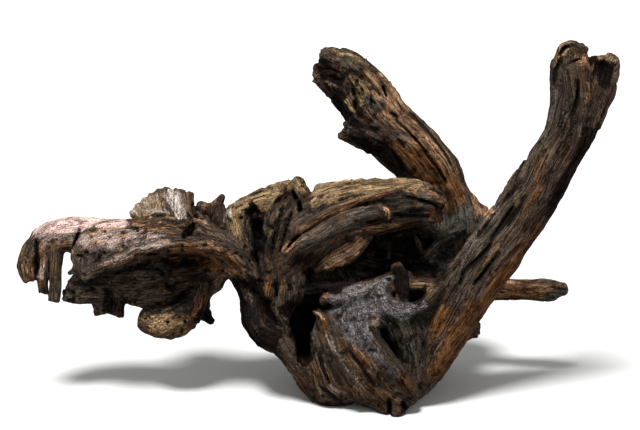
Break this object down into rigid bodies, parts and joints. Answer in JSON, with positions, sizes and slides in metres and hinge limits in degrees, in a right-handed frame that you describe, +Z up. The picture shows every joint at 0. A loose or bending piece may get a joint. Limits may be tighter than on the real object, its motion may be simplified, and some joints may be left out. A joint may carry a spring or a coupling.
{
  "type": "driftwood",
  "caption": "Weathered piece of driftwood: a hollow, ridged root crown that stands on blunt toes, with broken limbs and a clawed arm that reaches out to one side.",
  "frame": {"origin": "on the ground under the middle of the piece's box", "axes": "+Z up, +X from the clawed arm to the tall limb, -Y to the front"},
  "size_m": [0.5859, 0.1978, 0.3565],
  "materials": {
    "weathered_wood": "dry, rough, weathered"
  },
  "bodies": {
    "root": {"driftwood": "weathered_wood"}
  },
  "joints": []
}
